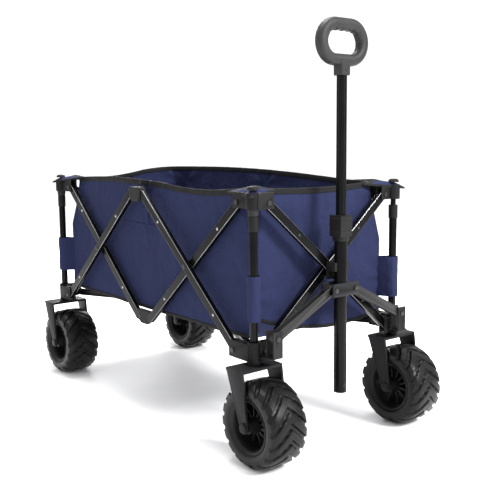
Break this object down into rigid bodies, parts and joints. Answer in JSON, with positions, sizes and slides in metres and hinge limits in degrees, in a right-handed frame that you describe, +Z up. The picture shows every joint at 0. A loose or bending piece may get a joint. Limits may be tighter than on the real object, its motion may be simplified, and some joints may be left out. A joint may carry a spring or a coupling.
{
  "type": "folding camp wagon",
  "caption": "Folding pull wagon: an open cloth basket on a black scissor frame with wide soft wheels, swivelling at the front, and a telescoping handle with a loop grip.",
  "frame": {"origin": "on the ground midway between the four wheels, at the centre of the outer box", "axes": "+Z up, +Y along the long sides towards the rear, pull handle at the -Y end, +X to the right seen from the handle end"},
  "size_m": [0.531, 1.06, 0.91],
  "materials": {
    "gloss_black_steel": "glossy black powder coat",
    "caster_steel": "satin black",
    "moulded_plastic": "fine grain",
    "grip_plastic": "soft touch",
    "rim_plastic": "moulded",
    "tyre_rubber": "matt",
    "navy_cloth": "plain weave"
  },
  "bodies": {
    "base_FL": {"lower_bracket_FL": "moulded_plastic", "outer_post_FL": "gloss_black_steel"},
    "base_FR": {"lower_bracket_FR": "moulded_plastic", "outer_post_FR": "gloss_black_steel"},
    "base_RL": {"lower_bracket_RL": "moulded_plastic", "outer_post_RL": "gloss_black_steel", "fork_RL": "caster_steel"},
    "base_RR": {"lower_bracket_RR": "moulded_plastic", "outer_post_RR": "gloss_black_steel", "fork_RR": "caster_steel"},
    "top_FL": {"top_bracket_FL": "moulded_plastic", "cloth_left": "navy_cloth", "cloth_front": "navy_cloth", "cloth_floor": "navy_cloth"},
    "top_FR": {"top_bracket_FR": "moulded_plastic", "cloth_right": "navy_cloth"},
    "top_RL": {"top_bracket_RL": "moulded_plastic", "cloth_rear": "navy_cloth"},
    "top_RR": {"top_bracket_RR": "moulded_plastic"},
    "caster_FL": {"fork_FL": "caster_steel"},
    "caster_FR": {"fork_FR": "caster_steel"},
    "mast": {"mast_outer": "gloss_black_steel", "mast_collar": "moulded_plastic", "link_carrier": "gloss_black_steel"},
    "handle": {"mast_inner": "gloss_black_steel", "grip": "grip_plastic"},
    "button": {"release_button": "moulded_plastic"},
    "saddle": {"centre_block": "moulded_plastic"},
    "hub": {"floor_hub": "moulded_plastic"},
    "wheel_FL": {"tyre_FL": "tyre_rubber", "rim_FL": "rim_plastic"},
    "floor_link_FL": {"floor_link_FL": "gloss_black_steel"},
    "wheel_FR": {"tyre_FR": "tyre_rubber", "rim_FR": "rim_plastic"},
    "floor_link_FR": {"floor_link_FR": "gloss_black_steel"},
    "wheel_RL": {"tyre_RL": "tyre_rubber", "rim_RL": "rim_plastic"},
    "floor_link_RL": {"floor_link_RL": "gloss_black_steel"},
    "wheel_RR": {"tyre_RR": "tyre_rubber", "rim_RR": "rim_plastic"},
    "floor_link_RR": {"floor_link_RR": "gloss_black_steel"},
    "handle_link_left": {"handle_link_left": "gloss_black_steel"},
    "left_front_bar_outer": {"left_front_bar_outer": "gloss_black_steel"},
    "left_front_bar_inner": {"left_front_bar_inner": "gloss_black_steel"},
    "left_rear_bar_outer": {"left_rear_bar_outer": "gloss_black_steel"},
    "left_rear_bar_inner": {"left_rear_bar_inner": "gloss_black_steel"},
    "left_upper_mid": {"left_upper_mid_bracket": "moulded_plastic"},
    "left_lower_mid": {"left_lower_mid_bracket": "moulded_plastic"},
    "handle_link_right": {"handle_link_right": "gloss_black_steel"},
    "right_front_bar_outer": {"right_front_bar_outer": "gloss_black_steel"},
    "right_front_bar_inner": {"right_front_bar_inner": "gloss_black_steel"},
    "right_rear_bar_outer": {"right_rear_bar_outer": "gloss_black_steel"},
    "right_rear_bar_inner": {"right_rear_bar_inner": "gloss_black_steel"},
    "right_upper_mid": {"right_upper_mid_bracket": "moulded_plastic"},
    "right_lower_mid": {"right_lower_mid_bracket": "moulded_plastic"},
    "front_bar_outer": {"front_bar_outer": "gloss_black_steel"},
    "front_bar_inner": {"front_bar_inner": "gloss_black_steel"},
    "rear_bar_outer": {"rear_bar_outer": "gloss_black_steel"},
    "rear_bar_inner": {"rear_bar_inner": "gloss_black_steel"}
  },
  "joints": [
    {"name": "fold", "type": "hinge", "parent": "base_FL", "child": "left_front_bar_outer", "pos_m": [-0.216, -0.358, 0.227], "axis": [1, 0, 0], "range_deg": [0, 39.4], "deforming": ["cloth_left", "cloth_right", "cloth_front", "cloth_rear", "cloth_floor"]},
    {"name": "left_front_cross", "type": "hinge", "parent": "left_front_bar_outer", "child": "left_front_bar_inner", "pos_m": [-0.209, -0.178, 0.381], "axis": [1, 0, 0], "range_deg": [-78.8, 0]},
    {"name": "left_upper_mid_front", "type": "hinge", "parent": "left_front_bar_outer", "child": "left_upper_mid", "pos_m": [-0.216, 0.002, 0.535], "axis": [1, 0, 0], "range_deg": [-39.4, 0]},
    {"name": "left_lower_mid_front", "type": "hinge", "parent": "left_front_bar_inner", "child": "left_lower_mid", "pos_m": [-0.202, 0.002, 0.227], "axis": [1, 0, 0], "range_deg": [0, 39.4]},
    {"name": "left_upper_mid_rear", "type": "hinge", "parent": "left_upper_mid", "child": "left_rear_bar_outer", "pos_m": [-0.216, 0.058, 0.535], "axis": [1, 0, 0], "range_deg": [-39.4, 0]},
    {"name": "left_rear_cross", "type": "hinge", "parent": "left_rear_bar_outer", "child": "left_rear_bar_inner", "pos_m": [-0.209, 0.238, 0.381], "axis": [1, 0, 0], "range_deg": [0, 78.8]},
    {"name": "top_FL_pivot", "type": "hinge", "parent": "left_front_bar_inner", "child": "top_FL", "pos_m": [-0.202, -0.358, 0.535], "axis": [1, 0, 0], "range_deg": [0, 39.4]},
    {"name": "base_RL_pivot", "type": "hinge", "parent": "left_rear_bar_outer", "child": "base_RL", "pos_m": [-0.216, 0.418, 0.227], "axis": [1, 0, 0], "range_deg": [0, 39.4]},
    {"name": "top_RL_pivot", "type": "hinge", "parent": "left_rear_bar_inner", "child": "top_RL", "pos_m": [-0.202, 0.418, 0.535], "axis": [1, 0, 0], "range_deg": [-39.4, 0]},
    {"name": "front_inner_foot", "type": "hinge", "parent": "base_FL", "child": "front_bar_inner", "pos_m": [-0.18, -0.403, 0.227], "axis": [0, -1, 0], "range_deg": [0, 39.4]},
    {"name": "front_cross", "type": "hinge", "parent": "front_bar_inner", "child": "front_bar_outer", "pos_m": [0, -0.41, 0.381], "axis": [0, -1, 0], "range_deg": [-78.8, 0]},
    {"name": "top_FR_pivot", "type": "hinge", "parent": "front_bar_inner", "child": "top_FR", "pos_m": [0.18, -0.403, 0.535], "axis": [0, -1, 0], "range_deg": [-39.4, 0]},
    {"name": "base_FR_pivot", "type": "hinge", "parent": "front_bar_outer", "child": "base_FR", "pos_m": [0.18, -0.417, 0.227], "axis": [0, -1, 0], "range_deg": [0, 39.4]},
    {"name": "saddle_pivot", "type": "hinge", "parent": "front_bar_inner", "child": "saddle", "pos_m": [0, -0.403, 0.381], "axis": [0, -1, 0], "range_deg": [-39.4, 0]},
    {"name": "rear_outer_foot", "type": "hinge", "parent": "base_RL", "child": "rear_bar_outer", "pos_m": [-0.18, 0.477, 0.227], "axis": [0, -1, 0], "range_deg": [0, 39.4]},
    {"name": "rear_cross", "type": "hinge", "parent": "rear_bar_outer", "child": "rear_bar_inner", "pos_m": [0, 0.47, 0.381], "axis": [0, -1, 0], "range_deg": [-78.8, 0]},
    {"name": "top_RR_pivot", "type": "hinge", "parent": "rear_bar_outer", "child": "top_RR", "pos_m": [0.18, 0.477, 0.535], "axis": [0, -1, 0], "range_deg": [-39.4, 0]},
    {"name": "base_RR_pivot", "type": "hinge", "parent": "rear_bar_inner", "child": "base_RR", "pos_m": [0.18, 0.463, 0.227], "axis": [0, -1, 0], "range_deg": [0, 39.4]},
    {"name": "right_front_outer_foot", "type": "hinge", "parent": "base_FR", "child": "right_front_bar_outer", "pos_m": [0.216, -0.358, 0.227], "axis": [1, 0, 0], "range_deg": [0, 39.4]},
    {"name": "right_front_cross", "type": "hinge", "parent": "right_front_bar_outer", "child": "right_front_bar_inner", "pos_m": [0.209, -0.178, 0.381], "axis": [1, 0, 0], "range_deg": [-78.8, 0]},
    {"name": "right_upper_mid_front", "type": "hinge", "parent": "right_front_bar_outer", "child": "right_upper_mid", "pos_m": [0.216, 0.002, 0.535], "axis": [1, 0, 0], "range_deg": [-39.4, 0]},
    {"name": "right_lower_mid_front", "type": "hinge", "parent": "right_front_bar_inner", "child": "right_lower_mid", "pos_m": [0.202, 0.002, 0.227], "axis": [1, 0, 0], "range_deg": [0, 39.4]},
    {"name": "right_upper_mid_rear", "type": "hinge", "parent": "right_upper_mid", "child": "right_rear_bar_outer", "pos_m": [0.216, 0.058, 0.535], "axis": [1, 0, 0], "range_deg": [-39.4, 0]},
    {"name": "right_rear_cross", "type": "hinge", "parent": "right_rear_bar_outer", "child": "right_rear_bar_inner", "pos_m": [0.209, 0.238, 0.381], "axis": [1, 0, 0], "range_deg": [0, 78.8]},
    {"name": "handle_link_left_foot", "type": "hinge", "parent": "base_FL", "child": "handle_link_left", "pos_m": [-0.187, -0.448, 0.263], "axis": [0, -1, 0], "range_deg": [0, 56.95]},
    {"name": "handle_link_right_foot", "type": "hinge", "parent": "base_FR", "child": "handle_link_right", "pos_m": [0.187, -0.448, 0.263], "axis": [0, 1, 0], "range_deg": [0, 56.95]},
    {"name": "mast_lift", "type": "slide", "parent": "saddle", "child": "mast", "axis": [0, 0, 1], "range_m": [0, 0.01649]},
    {"name": "handle_slide", "type": "slide", "parent": "mast", "child": "handle", "axis": [0, 0, 1], "range_m": [-0.26, 0]},
    {"name": "button_press", "type": "slide", "parent": "mast", "child": "button", "axis": [-1, 0, 0], "range_m": [0, 0.0025], "stiffness_N_per_m": 400},
    {"name": "floor_link_FL_foot", "type": "hinge", "parent": "base_FL", "child": "floor_link_FL", "pos_m": [-0.19184, -0.37387, 0.232], "axis": [0.9033, -0.4291, 0], "range_deg": [0, 82.39]},
    {"name": "hub_pivot", "type": "hinge", "parent": "floor_link_FL", "child": "hub", "pos_m": [-0.03861, -0.0513, 0.232], "axis": [0.9033, -0.4291, 0], "range_deg": [-82.39, 0]},
    {"name": "floor_link_FR_foot", "type": "hinge", "parent": "base_FR", "child": "floor_link_FR", "pos_m": [0.19184, -0.37387, 0.232], "axis": [0.9033, 0.4291, 0], "range_deg": [0, 82.39]},
    {"name": "floor_link_RL_foot", "type": "hinge", "parent": "base_RL", "child": "floor_link_RL", "pos_m": [-0.19184, 0.43387, 0.232], "axis": [-0.9033, -0.4291, 0], "range_deg": [0, 82.39]},
    {"name": "floor_link_RR_foot", "type": "hinge", "parent": "base_RR", "child": "floor_link_RR", "pos_m": [0.19184, 0.43387, 0.232], "axis": [-0.9033, 0.4291, 0], "range_deg": [0, 82.39]},
    {"name": "swivel_FL", "type": "hinge", "parent": "base_FL", "child": "caster_FL", "pos_m": [-0.209, -0.41, 0.204], "axis": [0, 0, 1], "continuous": true},
    {"name": "swivel_FR", "type": "hinge", "parent": "base_FR", "child": "caster_FR", "pos_m": [0.209, -0.41, 0.204], "axis": [0, 0, 1], "continuous": true},
    {"name": "spin_FL", "type": "hinge", "parent": "caster_FL", "child": "wheel_FL", "pos_m": [-0.209, -0.44, 0.09], "axis": [1, 0, 0], "continuous": true},
    {"name": "spin_FR", "type": "hinge", "parent": "caster_FR", "child": "wheel_FR", "pos_m": [0.209, -0.44, 0.09], "axis": [1, 0, 0], "continuous": true},
    {"name": "spin_RL", "type": "hinge", "parent": "base_RL", "child": "wheel_RL", "pos_m": [-0.209, 0.44, 0.09], "axis": [1, 0, 0], "continuous": true},
    {"name": "spin_RR", "type": "hinge", "parent": "base_RR", "child": "wheel_RR", "pos_m": [0.209, 0.44, 0.09], "axis": [1, 0, 0], "continuous": true}
  ],
  "couplings": [
    {"joint": "left_front_cross", "follows": "fold", "ratio": -2},
    {"joint": "left_upper_mid_front", "follows": "fold", "ratio": -1},
    {"joint": "left_lower_mid_front", "follows": "fold", "ratio": 1},
    {"joint": "left_upper_mid_rear", "follows": "fold", "ratio": -1},
    {"joint": "left_rear_cross", "follows": "fold", "ratio": 2},
    {"joint": "top_FL_pivot", "follows": "fold", "ratio": 1},
    {"joint": "base_RL_pivot", "follows": "fold", "ratio": 1},
    {"joint": "top_RL_pivot", "follows": "fold", "ratio": -1},
    {"joint": "front_inner_foot", "follows": "fold", "ratio": 1},
    {"joint": "front_cross", "follows": "fold", "ratio": -2},
    {"joint": "top_FR_pivot", "follows": "fold", "ratio": -1},
    {"joint": "base_FR_pivot", "follows": "fold", "ratio": 1},
    {"joint": "saddle_pivot", "follows": "fold", "ratio": -1},
    {"joint": "rear_outer_foot", "follows": "fold", "ratio": 1},
    {"joint": "rear_cross", "follows": "fold", "ratio": -2},
    {"joint": "top_RR_pivot", "follows": "fold", "ratio": -1},
    {"joint": "base_RR_pivot", "follows": "fold", "ratio": 1},
    {"joint": "right_front_outer_foot", "follows": "fold", "ratio": 1},
    {"joint": "right_front_cross", "follows": "fold", "ratio": -2},
    {"joint": "right_upper_mid_front", "follows": "fold", "ratio": -1},
    {"joint": "right_lower_mid_front", "follows": "fold", "ratio": 1},
    {"joint": "right_upper_mid_rear", "follows": "fold", "ratio": -1},
    {"joint": "right_rear_cross", "follows": "fold", "ratio": 2},
    {"joint": "handle_link_left_foot", "follows": "fold", "ratio": 1.4454},
    {"joint": "handle_link_right_foot", "follows": "fold", "ratio": 1.4454},
    {"joint": "mast_lift", "follows": "fold", "m_per_rad": 0.023838},
    {"joint": "floor_link_FL_foot", "follows": "fold", "ratio": 2.0912},
    {"joint": "hub_pivot", "follows": "fold", "ratio": -2.0912},
    {"joint": "floor_link_FR_foot", "follows": "fold", "ratio": 2.0912},
    {"joint": "floor_link_RL_foot", "follows": "fold", "ratio": 2.0912},
    {"joint": "floor_link_RR_foot", "follows": "fold", "ratio": 2.0912}
  ]
}
